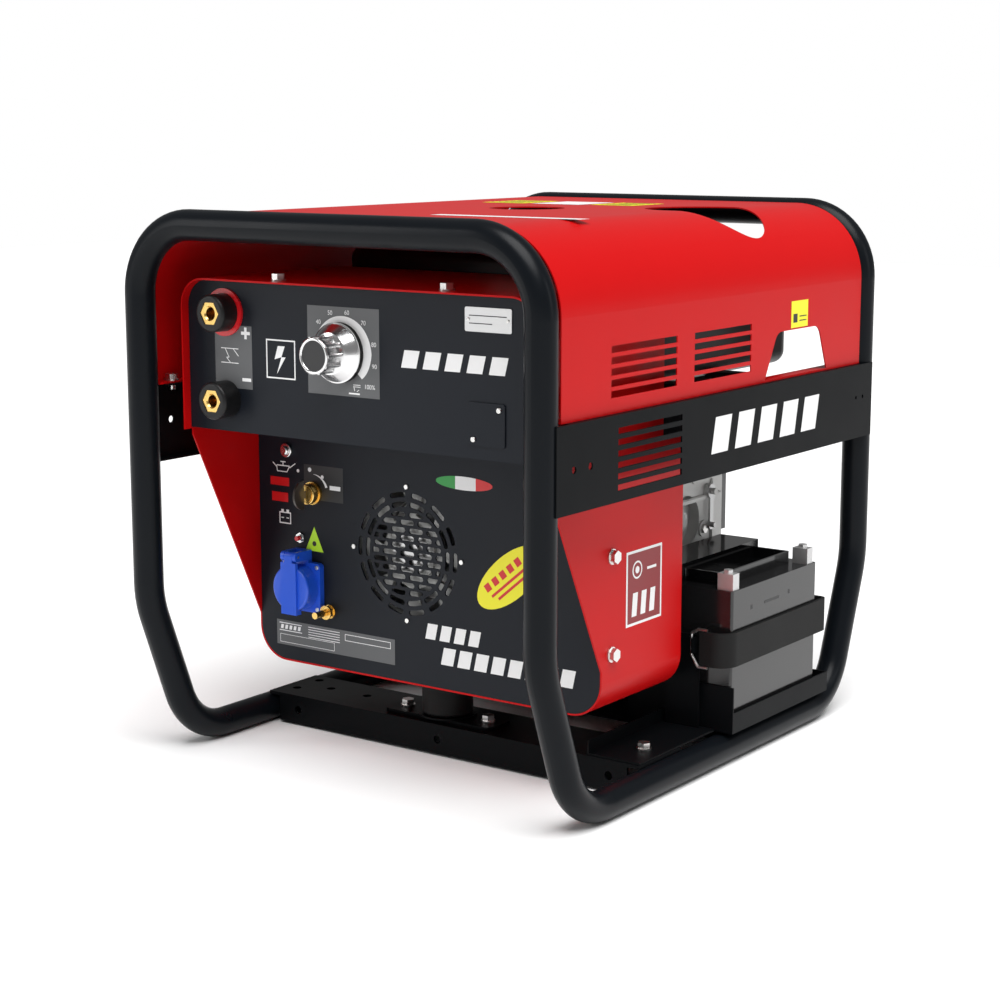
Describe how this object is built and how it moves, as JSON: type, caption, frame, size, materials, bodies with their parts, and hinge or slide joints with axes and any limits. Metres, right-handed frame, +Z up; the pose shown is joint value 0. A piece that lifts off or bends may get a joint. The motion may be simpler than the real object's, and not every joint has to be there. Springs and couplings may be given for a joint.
{
  "type": "engine driven welder",
  "caption": "Engine driven arc welder in a tubular roll frame, with an arched hood, a control panel with two welding sockets, a round air inlet and a battery on a side tray.",
  "frame": {"origin": "on the ground under the middle of the roll frame", "axes": "+X to the operator's right along the control panel, +Y to the engine end, +Z up"},
  "size_m": [0.58, 0.7272, 0.6324],
  "materials": {
    "black_frame": "gloss",
    "black_sheet": "satin",
    "red_paint": "gloss",
    "zinc_steel": "satin",
    "mount_rubber": "matte",
    "plate_aluminium": "satin",
    "black_plastic": "matte",
    "brass": "polished",
    "red_plastic": "gloss",
    "knob_chrome": "satin",
    "blue_plastic": "satin",
    "cast_aluminium": "cast",
    "machined_steel": "machined",
    "cast_iron": "cast",
    "black_enamel": "satin",
    "heat_sink": "satin",
    "battery_grey": "satin",
    "lead": "matte"
  },
  "bodies": {
    "frame_and_casing": {"front_frame_tube": "black_frame", "rear_frame_tube": "black_frame", "right_side_band": "black_sheet", "left_side_band": "black_sheet", "front_base_channel": "black_sheet", "rear_base_channel": "black_sheet", "rubber_mounts": "mount_rubber", "mount_plates": "black_sheet", "engine_bed": "black_sheet", "battery_tray": "black_sheet", "hood": "red_paint", "flange_bolts": "zinc_steel", "upper_cover": "red_paint", "upper_panel": "black_sheet", "lower_casing": "red_paint", "lower_panel": "black_sheet", "blanking_plate": "black_sheet", "rating_plate": "plate_aluminium", "panel_fasteners": "zinc_steel", "socket_collars": "black_plastic", "socket_inserts": "brass", "positive_ring": "red_plastic", "potentiometer": "black_plastic", "key_switch": "brass", "oil_lamp": "knob_chrome", "breaker_body": "black_plastic", "outlet_base": "blue_plastic", "outlet_hinge_pin": "zinc_steel", "earth_stud": "brass", "earth_nuts": "brass", "end_bell": "cast_aluminium", "stator": "machined_steel", "alternator_housing": "cast_aluminium", "bearings": "machined_steel", "crankcase": "cast_aluminium", "cylinder": "cast_aluminium", "cylinder_head": "cast_aluminium", "rocker_cover": "cast_aluminium", "fuel_tank": "black_plastic", "air_cleaner": "black_plastic", "muffler": "cast_iron", "fan_housing": "black_enamel", "starter_motor": "black_enamel", "welding_inverter": "heat_sink", "battery_case": "battery_grey", "battery_lid": "black_plastic", "battery_terminals": "lead", "battery_strap": "mount_rubber", "strap_hook": "zinc_steel"},
    "current_knob": {"current_knob": "knob_chrome", "knob_shaft": "zinc_steel"},
    "ignition_key": {"key_plug": "brass", "ignition_key": "black_plastic"},
    "breaker_button": {"breaker_button": "red_plastic"},
    "outlet_lid": {"outlet_lid": "blue_plastic"},
    "crank_train": {"crankshaft": "machined_steel", "rotor": "machined_steel", "flywheel": "cast_iron"},
    "speed_lever": {"speed_lever": "machined_steel"},
    "fuel_cap": {"fuel_cap": "black_plastic"}
  },
  "joints": [
    {"name": "current_knob_turn", "type": "hinge", "parent": "frame_and_casing", "child": "current_knob", "pos_m": [-0.0195, -0.303, 0.4835], "axis": [0, 1, 0], "range_deg": [-270, 0]},
    {"name": "ignition_key_turn", "type": "hinge", "parent": "frame_and_casing", "child": "ignition_key", "pos_m": [-0.157, -0.205, 0.301], "axis": [0, 1, 0], "range_deg": [0, 60]},
    {"name": "breaker_button_push", "type": "slide", "parent": "frame_and_casing", "child": "breaker_button", "axis": [0, 1, 0], "range_m": [0, 0.003], "stiffness_N_per_m": 400, "springref_m": -0.002},
    {"name": "outlet_lid_open", "type": "hinge", "parent": "frame_and_casing", "child": "outlet_lid", "pos_m": [-0.1725, -0.214, 0.228], "axis": [-1, 0, 0], "range_deg": [0, 110], "stiffness_Nm_per_rad": 0.02, "springref_deg": -17.19},
    {"name": "crank_train_spin", "type": "hinge", "parent": "frame_and_casing", "child": "crank_train", "pos_m": [-0.0195, 0, 0.245], "axis": [0, 1, 0], "continuous": true},
    {"name": "speed_lever_turn", "type": "hinge", "parent": "frame_and_casing", "child": "speed_lever", "pos_m": [0.145, 0.206, 0.278], "axis": [1, 0, 0], "range_deg": [-25, 25]},
    {"name": "fuel_cap_turn", "type": "hinge", "parent": "frame_and_casing", "child": "fuel_cap", "pos_m": [0.012, 0, 0.6], "axis": [0, 0, 1], "range_deg": [0, 90]}
  ]
}
